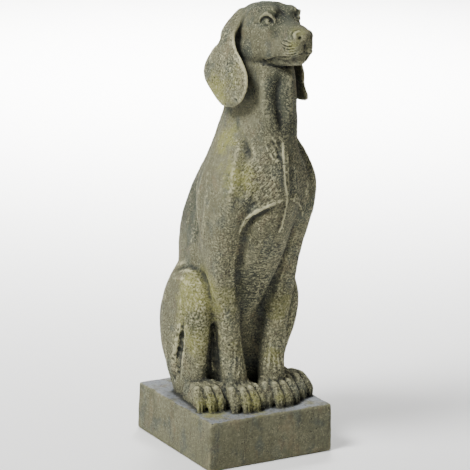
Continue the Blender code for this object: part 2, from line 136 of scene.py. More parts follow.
def regrain(piece, grain):
    """Gives the skin an even fine grain and rounds off the flats, less on the face and the feet."""
    remesh = piece.modifiers.new("grain", "REMESH")
    remesh.mode = "VOXEL"
    remesh.voxel_size = grain
    settle(piece)
    height = shares_of(piece)[:, 2]
    large = np.clip((height - 0.06) / 0.05, 0, 1) * np.clip((0.87 - height) / 0.05, 0, 1)
    places = read_vectors(piece.data.vertices, "co")
    eased = np.zeros(len(places))
    for path, reach in eased_paths():
        for place in through(path):
            apart = places - place
            eased = np.maximum(eased, 1.5 - np.sqrt((apart * apart).sum(axis=1)) / reach)
    fine = round((SOFTENING / grain) ** 2)
    steps = 10
    rounds = (("large forms", large, 2 * fine), ("eased", eased, 4 * fine), ("", 0, fine // 3))
    for name, mask, count in rounds:
        if name:
            group = piece.vertex_groups.new(name=name)
            levels = np.round(np.clip(mask, 0, 1) * steps)
            for step in range(1, steps + 1):
                group.add(np.nonzero(levels == step)[0].tolist(), step / steps, "REPLACE")
        smooth = piece.modifiers.new("soften", "SMOOTH")
        smooth.factor = 0.5
        smooth.iterations = max(count, 1)
        smooth.vertex_group = name
    settle(piece)


def through(points, steps=6):
    """Points read along a smooth curve through the given points."""
    points = [np.array(point) for point in points]
    ends = [2 * points[0] - points[1]] + points + [2 * points[-1] - points[-2]]
    out = []
    for before, start, stop, after in zip(ends, ends[1:], ends[2:], ends[3:]):
        for step in range(steps):
            t = step / steps
            out.append(
                0.5
                * (
                    2 * start
                    + (stop - before) * t
                    + (2 * before - 5 * start + 4 * stop - after) * t**2
                    + (3 * start - before - 3 * stop + after) * t**3
                )
            )
    return out + [points[-1]]


# How far a stroke wavers and over what length, how often a sharp one is broken by knots, and the
# share of its length over which it fades out at each end
WAVER = mm(0.7)
WAVER_LENGTH = mm(6)
WAVER_SEED = 3
KNOT_LENGTH = mm(4.5)
FADES = {"sharp": 0.08, "round": 0.22}

# The skin keeps its place at the base, and is worked in full from this height up
BASE_EDGE = mm(4)


def carve(piece, strokes):
    """Draws strokes into the skin, each a path, a reach, a height and a form.

    A cut has a negative height. The form is "round" for a soft swelling or trough and "sharp" for
    a crest or a knife cut, which is broken by knots. A stroke fades out at both ends, wavers as a
    hand does, and is a bump or a pit where its path is a single place.
    """
    places = read_vectors(piece.data.vertices, "co")
    normals = read_vectors(piece.data.vertices, "normal")
    tree = BVHTree.FromObject(piece, bpy.context.evaluated_depsgraph_get())
    shift = np.zeros_like(places)
    for path, reach, height, form in strokes:
        points = through(path) if len(path) > 1 else [np.array(path[0])] * 2
        if len(path) > 1:
            points = [Vector(point) for point in points]
            points = [p + WAVER * noise.noise_vector(p / WAVER_LENGTH) for p in points]
        line = np.array([tree.find_nearest(Vector(point))[0] for point in points])
        inside = (places > line.min(axis=0) - reach).all(axis=1)
        inside &= (places < line.max(axis=0) + reach).all(axis=1)
        chosen = np.nonzero(inside)[0]
        near = np.full(len(chosen), np.inf)
        way = np.zeros(len(chosen))
        done = 0.0
        marks = [0.0]
        for start, stop in zip(line, line[1:]):
            run = stop - start
            length = math.sqrt(run @ run) + 1e-9
            along = np.clip((places[chosen] - start) @ run / length**2, 0, 1)
            gap = places[chosen] - start - along[:, None] * run
            apart = np.sqrt((gap * gap).sum(axis=1))
            way = np.where(apart < near, done + along * length, way)
            near = np.minimum(near, apart)
            done += length
            marks.append(done)
        share = np.clip(near / reach, 0, 1)
        fall = (1 - share) ** 1.5 if form == "sharp" else (1 - share**2) ** 2
        if len(path) > 1:
            fall *= np.clip(np.minimum(way, done - way) / (FADES[form] * done) + 0.1, 0, 1)
            if form == "sharp":
                knots = [0.9 + 1.3 * noise.noise(Vector(point) / KNOT_LENGTH) for point in points]
                fall *= np.interp(way, marks, np.clip(knots, 0.35, 1.6))
        shift[chosen] += normals[chosen] * (fall * height)[:, None]
    shift *= np.clip(places[:, 2:] / BASE_EDGE, 0, 1)
    piece.data.vertices.foreach_set("co", (places + shift).ravel())
    piece.data.update()


# Forms of the head that are worn down before the lines are cut: a path on the dog's left, and a
# reach. They are the lower lip's edge, the boss of the brow and the parting under the nose
EASED = (
    (((0.146, 0.012, -0.046), (0.126, 0.026, -0.053), (0.092, 0.034, -0.060),
      (0.066, 0.040, -0.063)), 0.005),
    (((0.050, 0.028, 0.068), (0.062, 0.026, 0.062)), 0.006),
    (((0.157, 0, -0.008), (0.154, 0, -0.018), (0.150, 0, -0.028)), 0.004),
)

# The parting of the lips, from under the nose back to the deep corner
LIPS = ((0.151, 0.003, -0.028), (0.148, 0.020, -0.033), (0.126, 0.031, -0.045),
        (0.092, 0.037, -0.054), (0.054, 0.042, -0.063))
LIPS_SHADE = mm(2)

# The carver's lines. A line is a path, its reach and its height in millimetres, and its form

FACE_LINES = (
    # The eye: the shadow under the upper lid, the edge of the lower one, and the corner
    (((0.046, 0.053, 0.031), (0.053, 0.052, 0.038), (0.062, 0.049, 0.045), (0.071, 0.044, 0.043),
      (0.076, 0.038, 0.035)), 2.4, -1.6, "sharp"),
    (((0.050, 0.052, 0.027), (0.060, 0.050, 0.026), (0.070, 0.045, 0.028)), 2.2, -1.2, "sharp"),
    (((0.043, 0.054, 0.028), (0.034, 0.055, 0.027), (0.026, 0.056, 0.025)), 2.8, -1.8, "sharp"),
    (((0.046, 0.053, 0.0235), (0.060, 0.050, 0.0215), (0.073, 0.043, 0.025)), 3.0, -0.8, "round"),
    (((0.0725, 0.044, 0.036),), 2.4, -1.6, "sharp"),
    # The folds above the lid, before the eye and below it
    (((0.038, 0.054, 0.037), (0.049, 0.053, 0.052), (0.063, 0.046, 0.062), (0.075, 0.038, 0.058),
      (0.084, 0.031, 0.043)), 4.2, -0.9, "round"),
    (((0.060, 0.034, 0.064), (0.074, 0.029, 0.054), (0.086, 0.025, 0.038)), 4.0, 0.5, "round"),
    (((0.044, 0.055, 0.017), (0.060, 0.053, 0.015), (0.074, 0.045, 0.019)), 5.0, 0.5, "round"),
    (((0.046, 0.055, 0.006), (0.062, 0.052, 0.003), (0.076, 0.045, 0.009)), 4.0, -0.5, "round"),
    # The nostril, the groove round its wing and the ring outside
    (((0.151, 0.014, 0.009),), 2.8, -1.6, "sharp"),
    (((0.143, 0.027, 0.004), (0.137, 0.027, 0.010), (0.134, 0.025, 0.016), (0.135, 0.020, 0.021),
      (0.139, 0.011, 0.024)), 2.4, -1.5, "sharp"),
    (((0.135, 0.029, 0.003), (0.131, 0.0275, 0.011), (0.130, 0.0255, 0.017), (0.131, 0.0215, 0.023)),
     2.4, 0.3, "round"),
    # The lips, the shade under the upper one, and the mouth's corner
    (LIPS, 3.4, -3.2, "sharp"),
    (((0.146, 0.016, -0.044), (0.124, 0.028, -0.056), (0.092, 0.034, -0.064)), 6.0, -2.0, "round"),
    (((0.047, 0.043, -0.0635),), 3.0, -3.4, "sharp"),
    (((0.044, 0.0435, -0.071),), 4.5, 0.7, "round"),
    # Cheek and jowl
    (((0.030, 0.050, -0.050), (0.010, 0.053, -0.030), (0.004, 0.055, -0.004)), 9.0, -0.8, "round"),
)

WHISKER_LINES = (
    ((0.111, 0.033, 0.002), (0.128, 0.031, -0.001), (0.142, 0.0275, -0.002)),
    ((0.104, 0.033, -0.005), (0.116, 0.032, -0.010), (0.133, 0.031, -0.010), (0.145, 0.027, -0.007)),
    ((0.108, 0.034, -0.014), (0.122, 0.032, -0.017), (0.136, 0.030, -0.016), (0.148, 0.025, -0.013)),
    ((0.115, 0.032, -0.021), (0.129, 0.031, -0.023), (0.143, 0.028, -0.021), (0.152, 0.022, -0.016)),
    ((0.123, 0.032, -0.029), (0.140, 0.028, -0.028), (0.151, 0.023, -0.023)),
)

MIDDLE_LINES = (
    (((0.036, 0, 0.073), (0.060, 0, 0.060), (0.074, 0, 0.044)), 7.0, -0.4, "round"),
    (((0.158, 0, 0.014), (0.161, 0, 0.004), (0.158, 0, -0.008), (0.154, 0, -0.018),
      (0.151, 0, -0.028)), 2.4, -0.3, "sharp"),
    # The left lip hangs lower than the right
    (((0.146, 0.014, -0.042), (0.134, 0.021, -0.046)), 8.0, 3.6, "round"),
)

NECK_LINES = (
    # The two folds of the throat and the trough between
    (((-0.036, -0.166, 0.850), (-0.041, -0.178, 0.800), (-0.040, -0.187, 0.750),
      (-0.026, -0.200, 0.700)), 13.0, 2.0, "round"),
    (((-0.003, -0.186, 0.850), (-0.009, -0.193, 0.800), (-0.010, -0.199, 0.754),
      (-0.005, -0.205, 0.706)), 9.0, -1.6, "round"),
    (((0.024, -0.180, 0.847), (0.015, -0.198, 0.811), (0.013, -0.206, 0.766), (0.009, -0.208, 0.715)),
     9.0, 1.6, "round"),
    # Loose skin running down from the jaw to the chest
    (((-0.066, -0.108, 0.746), (-0.067, -0.131, 0.712), (-0.064, -0.154, 0.678),
      (-0.058, -0.174, 0.645), (-0.050, -0.190, 0.610)), 8.0, 1.1, "round"),
    (((-0.070, -0.092, 0.732), (-0.071, -0.115, 0.698), (-0.068, -0.138, 0.664),
      (-0.062, -0.158, 0.631)), 8.0, -1.1, "round"),
    (((-0.044, -0.188, 0.688), (-0.041, -0.192, 0.665), (-0.032, -0.203, 0.645),
      (-0.018, -0.213, 0.622)), 2.6, 0.9, "sharp"),
    (((-0.036, -0.195, 0.682), (-0.027, -0.200, 0.675), (-0.022, -0.205, 0.662),
      (-0.016, -0.210, 0.645), (-0.008, -0.218, 0.626)), 3.4, -1.7, "sharp"),
    (((-0.015, -0.205, 0.688), (-0.014, -0.208, 0.665), (-0.012, -0.211, 0.650)), 5.0, -1.5, "round"),
)

CHEST_LINES = (
    # The keel of the breastbone, and the hollow on its far side
    (((-0.005, -0.208, 0.680), (-0.008, -0.213, 0.652), (-0.007, -0.218, 0.622),
      (-0.006, -0.222, 0.585), (0.000, -0.221, 0.553), (0.002, -0.214, 0.517), (0.003, -0.203, 0.487),
      (0.002, -0.187, 0.452)), 3.0, 2.2, "sharp"),
    (((0.016, -0.206, 0.666), (0.013, -0.215, 0.616), (0.015, -0.219, 0.576), (0.018, -0.212, 0.525)),
     8.0, -1.0, "round"),
    # The ledge under the chest, from the keel to the arm, and the shade beneath it
    (((-0.004, -0.220, 0.543), (-0.025, -0.217, 0.536), (-0.042, -0.207, 0.527),
      (-0.056, -0.192, 0.515), (-0.067, -0.178, 0.504), (-0.076, -0.167, 0.492),
      (-0.082, -0.157, 0.475), (-0.083, -0.144, 0.451)), 3.6, 2.3, "sharp"),
    (((-0.012, -0.216, 0.526), (-0.031, -0.205, 0.518), (-0.053, -0.182, 0.500),
      (-0.069, -0.161, 0.476)), 5.0, -1.0, "round"),
    (((0.008, -0.219, 0.544), (0.031, -0.209, 0.532), (0.073, -0.168, 0.505), (0.085, -0.156, 0.478)),
     2.8, 0.9, "sharp"),
)

SIDE_LINES = (
    # The swell of the breast and the groove between it and the arm
    (((0.057, -0.180, 0.640), (0.063, -0.179, 0.616), (0.067, -0.183, 0.590), (0.071, -0.181, 0.562),
      (0.072, -0.177, 0.534)), 17.0, 2.4, "round"),
    (((0.066, -0.148, 0.682), (0.073, -0.151, 0.653), (0.086, -0.161, 0.625), (0.095, -0.171, 0.597),
      (0.100, -0.175, 0.567), (0.105, -0.171, 0.536), (0.099, -0.163, 0.499)), 13.0, -3.6, "round"),
    # The crest along the arm, rounded off, and the flat behind it
    (((0.128, -0.077, 0.596), (0.138, -0.091, 0.563), (0.141, -0.096, 0.528), (0.140, -0.082, 0.476),
      (0.128, -0.054, 0.430), (0.116, -0.026, 0.386)), 6.0, -1.0, "round"),
    (((0.128, -0.050, 0.600), (0.138, -0.064, 0.555), (0.143, -0.062, 0.510), (0.143, -0.050, 0.455),
      (0.135, -0.020, 0.400)), 13.0, -1.0, "round"),
    # Over the knee and down between thigh and shank, to the torn crease above the heel
    (((0.146, 0.062, 0.296), (0.151, 0.030, 0.308), (0.146, 0.000, 0.306), (0.136, -0.026, 0.296)),
     6.0, 0.9, "round"),
    (((0.152, 0.012, 0.292), (0.156, -0.012, 0.268), (0.157, -0.018, 0.230), (0.150, -0.006, 0.180)),
     8.0, -1.1, "round"),
    (((0.150, 0.002, 0.180), (0.149, 0.014, 0.140), (0.149, 0.028, 0.103), (0.146, 0.044, 0.063),
      (0.140, 0.058, 0.035)), 8.5, -4.2, "sharp"),
    # The stone left standing between shank and foreleg
    (((0.081, -0.027, 0.195), (0.079, -0.026, 0.150), (0.076, -0.025, 0.110), (0.072, -0.027, 0.066)),
     12.0, 9.0, "round"),
    # The heel's cord and the wrist's bone
    (((0.140, 0.066, 0.150), (0.142, 0.074, 0.100), (0.140, 0.082, 0.050)), 6.0, 0.8, "round"),
    # The rim of the ear and the hollow behind it
    (((0.068, -0.094, 0.934), (0.077, -0.093, 0.911), (0.082, -0.113, 0.886), (0.085, -0.149, 0.862),
      (0.087, -0.176, 0.834)), 2.6, 0.7, "sharp"),
    (((0.074, -0.078, 0.936), (0.083, -0.074, 0.911), (0.089, -0.090, 0.884), (0.093, -0.124, 0.855),
      (0.095, -0.148, 0.830)), 8.0, -0.6, "round"),
    (((0.066, -0.060, 0.950), (0.082, -0.040, 0.900), (0.098, -0.030, 0.860), (0.106, -0.050, 0.820)),
     9.0, 0.8, "round"),
    (((0.090, -0.075, 0.880), (0.101, -0.090, 0.840), (0.103, -0.095, 0.800)), 10.0, 0.9, "round"),
    # Ribs' edge on the flank and the shoulder blade's edge
    (((0.122, 0.020, 0.470), (0.126, 0.040, 0.410), (0.126, 0.058, 0.350)), 12.0, -0.6, "round"),
    (((0.070, 0.030, 0.700), (0.098, 0.010, 0.650), (0.118, -0.006, 0.590)), 12.0, 0.8, "round"),
)

# The feet: side, x, the line of the toes' tips, and whether it is a forefoot. The middle toes lead
FEET = (
    (-1, 0.036, -0.149, True),
    (1, 0.056, -0.149, True),
    (-1, 0.110, -0.108, False),
    (1, 0.116, -0.114, False),
)
TOES = 4
TOE_LEAD = 0.014

# Air holes in each crease above a heel, and knocks on each edge of the block
CREASE_HOLES = 14
KNOCKS = 7


def eased_paths():
    """The eased paths of the head and, across each foot, the backs of the toes."""
    paths = []
    for sign in SIDES:
        for path, reach in EASED:
            paths.append(([on_head(f, l * sign, u) for f, l, u in path], reach))
    for sign, x, toe_y, fore in FEET:
        for back in (0.075, 0.060):
            row = [at((x + out) * sign, toe_y + back, 0.056) for out in (-0.030, 0.000, 0.030)]
            paths.append((row, 0.009))
    return paths


def face_strokes():
    strokes = []
    for sign in SIDES:
        for path, reach, height, form in FACE_LINES:
            line = [on_head(f, l * sign, u) for f, l, u in path]
            strokes.append((line, mm(reach), mm(height), form))
        for path in WHISKER_LINES:
            ridge = [on_head(f, l * sign, u) for f, l, u in path]
            furrow = [on_head(f, l * sign, u - 0.0038) for f, l, u in path]
            strokes.append((ridge, mm(2.0), mm(0.8), "round"))
            strokes.append((furrow, mm(1.9), mm(-1.5), "sharp"))
    for path, reach, height, form in MIDDLE_LINES:
        strokes.append(([on_head(*place) for place in path], mm(reach), mm(height), form))
    return strokes


def body_strokes():
    strokes = []
    for path, reach, height, form in NECK_LINES + CHEST_LINES:
        strokes.append(([at(*place) for place in path], mm(reach), mm(height), form))
    for sign in SIDES:
        for path, reach, height, form in SIDE_LINES:
            line = [at(x * sign, y, z) for x, y, z in path]
            strokes.append((line, mm(reach), mm(height), form))
        # Air holes broken open along the crease above the heel
        for k in range(CREASE_HOLES):
            t = k / (CREASE_HOLES - 1)
            y = 0.002 + 0.047 * t + 0.012 * math.sin(7.3 * k)
            hole = at((0.150 - 0.006 * t) * sign, y, 0.190 - 0.150 * t)
            strokes.append(([hole], mm(3.4 + 1.3 * math.sin(4.1 * k)), mm(-2.0), "sharp"))
    return strokes


def foot_strokes(sign, x, toe_y, fore):
    """Clefts, knuckles and claws of the toes, and on a forefoot the sinews from the wrist."""

    def along(spread, run):
        lead = TOE_LEAD * (1 - spread * spread)
        return [
            at((x + spread * reach) * sign, toe_y + y - lead * min(1, (0.080 - y) / 0.030), z)
            for reach, y, z in run
        ]

    strokes = []
    for k in range(TOES - 1):
        between = (2 * k + 2 - TOES) / (TOES - 1)
        back = ((0.028, 0.074, 0.058), (0.030, 0.060, 0.056), (0.031, 0.050, 0.054))
        strokes.append((along(between, back), mm(3.5), mm(1.4), "round"))
        cleft = ((0.032, 0.044, 0.052), (0.035, 0.030, 0.044), (0.038, 0.013, 0.028))
        strokes.append((along(between, cleft), mm(2.2), mm(-0.6), "sharp"))
    for k in range(TOES):
        spread = 2 * k / (TOES - 1) - 1
        strokes.append((along(spread, ((0.033, 0.040, 0.055),)), mm(6), mm(1.1), "round"))
        strokes.append((along(spread, ((0.037, 0.021, 0.041),)), mm(4.5), mm(-1.2), "round"))
        tip = ((0.0385, 0.006, 0.022), (0.0385, 0.001, 0.012), (0.0385, 0.000, 0.003))
        strokes.append((along(spread, tip), mm(2.4), mm(0.8), "sharp"))
        for side in SIDES:
            beside = [place + Vector((side * mm(2.8), mm(0.6), 0)) for place in along(spread, tip)]
            strokes.append((beside, mm(2.0), mm(-0.8), "sharp"))
        if fore:
            lift = 0.016 * math.sin(2.4 * k + x * 40)
            wrist = (0.012, 0.060, 0.150 + lift)
            sinew = along(spread, (wrist, (0.017, 0.054, 0.110), (0.026, 0.050, 0.070)))
            strokes.append((sinew, mm(3.6), mm(0.4), "round"))
            furrow = [place - Vector((mm(3.4) * sign, 0, 0)) for place in sinew]
            strokes.append((furrow, mm(3.2), mm(-0.4), "round"))
    return strokes


def plinth_strokes():
    """Knocks on the top arrises of the block."""
    strokes = []
    wide, deep = PLINTH_HALF
    corners = [(-wide, -deep), (wide, -deep), (wide, deep), (-wide, deep)]
    for k, (start, stop) in enumerate(zip(corners, corners[1:] + corners[:1])):
        for step in range(KNOCKS):
            t = (step + 0.5 + 0.4 * math.sin(9.1 * step + 2.3 * k)) / KNOCKS
            x, y = (a + (b - a) * t for a, b in zip(start, stop))
            reach = mm(4 + 3 * math.sin(5.7 * step + k))
            strokes.append(([Vector((x, y, PLINTH_TOP))], reach, mm(-0.5), "round"))
    return strokes


# What the weather did, and where shade is painted. A patch is a place, its radius and its strength

MOSS = (
    ((-0.100, -0.070, 0.785), 0.045, 0.9),
    ((-0.090, -0.150, 0.830), 0.035, 0.4),
    ((-0.040, -0.170, 0.970), 0.030, 0.4),
    ((0.000, -0.250, 0.950), 0.025, 0.5),
    ((-0.015, -0.250, 0.910), 0.020, 0.5),
    ((-0.095, -0.165, 0.590), 0.045, 0.7),
    ((-0.090, -0.090, 0.670), 0.045, 0.6),
    ((-0.130, -0.030, 0.300), 0.045, 1.0),
    ((-0.150, -0.040, 0.230), 0.055, 0.9),
    ((-0.140, -0.040, 0.150), 0.050, 0.6),
    ((-0.060, -0.100, 0.280), 0.050, 0.5),
    ((-0.045, -0.110, 0.140), 0.035, 0.5),
    ((0.060, -0.110, 0.240), 0.050, 0.6),
    ((0.045, -0.110, 0.120), 0.035, 0.6),
    ((-0.130, -0.120, 0.020), 0.040, 0.9),
    ((-0.030, -0.160, 0.030), 0.035, 0.9),
    ((0.050, -0.160, 0.040), 0.030, 0.5),
    ((0.110, 0.050, 0.300), 0.060, 0.6),
    ((0.060, 0.090, 0.620), 0.070, 0.5),
    ((-0.030, 0.120, 0.420), 0.060, 0.5),
)

# Patches of grime and painted shade, on the head, the throat, between and beside the legs, the flanks
# and the block
GRIME_AND_SHADE = (
    ((0.000, -0.150, 0.995), 0.060, 1.15),
    ((-0.037, -0.176, 0.960), 0.014, 0.8),
    ((0.047, -0.170, 0.960), 0.014, 0.8),
    ((-0.145, -0.050, 0.215), 0.035, 1.1),
    ((0.005, -0.095, 0.290), 0.050, 1.3),
    ((0.155, -0.015, 0.230), 0.070, 0.5),
    ((0.000, -0.110, 0.240), 0.050, 0.6),
    ((0.150, -0.180, -0.060), 0.080, 0.4),
    ((-0.020, -0.230, 0.945), 0.050, 0.3),
    ((0.020, -0.220, 0.960), 0.050, 0.3),
    ((-0.014, -0.197, 0.790), 0.034, 1.2),
    ((-0.012, -0.200, 0.740), 0.032, 1.2),
    ((-0.010, -0.190, 0.850), 0.040, 0.6),
    ((0.020, -0.205, 0.700), 0.045, 0.7),
    ((-0.030, -0.120, 0.320), 0.060, 0.6),
    ((-0.110, 0.060, 0.470), 0.080, 0.75),
    ((-0.080, 0.110, 0.560), 0.080, 0.75),
    ((0.110, 0.060, 0.470), 0.080, 0.5),
    ((0.130, 0.040, 0.220), 0.080, 0.5),
    ((0.000, 0.160, 0.300), 0.080, 0.5),
)

# The small open holes: the mouth's corners, the nostrils and the pupils, as places on the head. Their
# colour is painted near black as shade
PITS = ((0.047, 0.043, -0.0635), (0.151, 0.0145, 0.0085), (0.0725, 0.044, 0.0365))
PIT_RADIUS = 0.0018


def mark_weather_and_light(piece):
    """Stores, from 0 to 1, how the stone is tooled and combed, where high spots are paled by wear and
    painted highlight, where moss lies, where grimy patches and painted shade lie, where the block's
    top is paled partly by painted top light, where the small pits are and which points belong to the
    block."""
    data = piece.data
    normals = read_vectors(data.vertices, "normal")
    shares = shares_of(piece)
    x, y, z = shares.T

    def spread(patches):
        total = np.zeros(len(shares))
        for centre, radius, strength in patches:
            total += strength * np.exp(-((shares - np.array(centre)) ** 2).sum(axis=1) / radius**2)
        return total

    places = read_vectors(data.vertices, "co")
    pits = np.zeros(len(places))
    for sign in SIDES:
        for f, l, u in PITS:
            apart = places - np.array(on_head(f, l * sign, u))
            pits += np.exp(-(apart * apart).sum(axis=1) / PIT_RADIUS**2)
    dirt_and_shade = spread(GRIME_AND_SHADE)
    # A painted shadow along the lips' parting joins the grime and painted shade
    for sign in SIDES:
        for place in through([on_head(f, l * sign, u) for f, l, u in LIPS], 12):
            apart = places - place
            dirt_and_shade = np.maximum(dirt_and_shade, 1.1 * np.exp(-(apart * apart).sum(axis=1) / LIPS_SHADE**2))
    block = z < BLOCK_SKIN

    # The tool bit deepest on the front, the legs and the ears, and least at the top of the arm
    front = np.clip((0.55 - normals[:, 1] - 0.9 * np.abs(normals[:, 0])) / 0.8, 0, 1)
    head = np.clip((z - 0.83) / 0.05, 0, 1)
    legs = np.clip((0.30 - z) / 0.08, 0, 1)
    tooth = (0.60 + 0.40 * np.maximum(front, 0.8 * legs)) * (1 - head) + 0.62 * head
    arm = ((np.abs(x) - 0.118) / 0.035) ** 2
    arm = arm + ((y + 0.100) / 0.070) ** 2 + ((z - 0.620) / 0.085) ** 2
    tooth *= 1 - 0.6 * np.exp(-arm)
    ears = np.clip((np.abs(x) - 0.070) / 0.012, 0, 1) * np.clip((z - 0.75) / 0.03, 0, 1)
    tooth = np.maximum(tooth, 0.95 * ears)
    tooth[block] = 0.45
    # The block's up-facing top is coloured paler and bluer: partly its own grey, partly painted light
    # from above
    top_tone_and_light = (block & (normals[:, 2] > 0.8)) * 1.0

    # Hair is combed across the belly, down the legs and slantwise up the breast
    between = np.exp(-(((x - 0.008) / 0.055) ** 2)) * np.clip((0.47 - z) / 0.06, 0, 1)
    between = between * (y < 0) * ~block
    between *= np.clip((z - 0.10) / 0.25, 0.15, 1)
    down = np.clip(np.abs(x) / 0.03 - 1.5, 0, 1) * (z < 0.45) * (y < 0.02)
    down = down * (1 - between) * ~block * 0.35
    slant = np.exp(-(((np.abs(x) - 0.058) / 0.045) ** 2) - ((z - 0.575) / 0.070) ** 2) * (y < -0.10)

    # High spots are coloured pale, partly real wear and partly painted highlight, but less on the
    # head, the throat, the toes and the block
    throat = np.clip((z - 0.67) / 0.06, 0, 1) * (y < -0.10)
    worn_and_highlit = 1 - np.maximum(0.58 * head, 0.55 * throat) - 0.7 * np.clip(1.4 - z / 0.07, 0, 1)
    worn_and_highlit = np.maximum(worn_and_highlit, ears)
    worn_and_highlit[block] = 0.35
    layers = {
        "moss": spread(MOSS),
        "grime_and_shade": dirt_and_shade,
        "pit": pits,
        "worn_and_highlit": worn_and_highlit,
        "tooth": tooth,
        "top_tone_and_light": top_tone_and_light,
        "across": between,
        "down": down,
        "slant": slant,
        "block": block,
    }
    for name, values in layers.items():
        layer = data.attributes.new(name, "FLOAT", "POINT")
        layer.data.foreach_set("value", np.clip(values, 0, 1).astype(float))


def neighbour_means(values, edges, passes):
    """Values averaged over the mesh's edges, again and again."""
    count = np.bincount(edges.ravel(), minlength=len(values))[:, None]
    for _ in range(passes):
        total = np.stack(
            [
                np.bincount(edges[:, 0], values[edges[:, 1], axis], len(values))
                + np.bincount(edges[:, 1], values[edges[:, 0], axis], len(values))
                for axis in range(values.shape[1])
            ],
            axis=1,
        )
        values = 0.5 * values + 0.5 * total / count
    return values


# Hollows by name, with the reach over which each is measured and the depth that counts in full
HOLLOWS = (("fine_hollow", mm(3.8), mm(0.5)), ("broad_hollow", mm(11), mm(2.4)))


def mark_hollows(piece):
    """Stores how far each point lies below its surroundings, from 0 on a crest to 1 in a hollow."""
    data = piece.data
    places = read_vectors(data.vertices, "co")
    normals = read_vectors(data.vertices, "normal")
    edges = np.empty(2 * len(data.edges), dtype=np.int32)
    data.edges.foreach_get("vertices", edges)
    edges = edges.reshape(-1, 2)
    length = math.sqrt(((places[edges[:, 0]] - places[edges[:, 1]]) ** 2).sum(axis=1).mean())
    for name, reach, depth in HOLLOWS:
        mean = neighbour_means(places, edges, round((reach / length) ** 2))
        below = ((mean - places) * normals).sum(axis=1) / depth
        layer = data.attributes.new(name, "FLOAT", "POINT")
        layer.data.foreach_set("value", np.clip(0.5 + 0.5 * below, 0, 1))


def mark_occlusion_shade(piece):
    """Stores how far each point is shut in by the figure around it, from 0 in the open to 1. The
    stone's colour darkens with it as painted shade.
    """
    data = piece.data
    tree = BVHTree.FromObject(piece, bpy.context.evaluated_depsgraph_get())
    golden = math.pi * (3 - math.sqrt(5))
    rays = []
    for k in range(OCCLUSION_SHADE_RAYS):
        height = 1 - (2 * k + 1) / OCCLUSION_SHADE_RAYS
        level = math.sqrt(1 - height * height)
        rays.append(Vector((math.cos(golden * k) * level, math.sin(golden * k) * level, height)))
    occlusion_shade = np.zeros(len(data.vertices))
    for index, vert in enumerate(data.vertices):
        normal = vert.normal
        start = vert.co + normal * mm(1)
        met = total = 0
        for ray in rays:
            facing = ray.dot(normal)
            if facing > 0.1:
                total += facing
                if tree.ray_cast(start, ray, OCCLUSION_SHADE_REACH)[0]:
                    met += facing
        occlusion_shade[index] = met / total
    layer = data.attributes.new("occlusion_shade", "FLOAT", "POINT")
    layer.data.foreach_set("value", occlusion_shade)


HOLE_SPACING = mm(6)


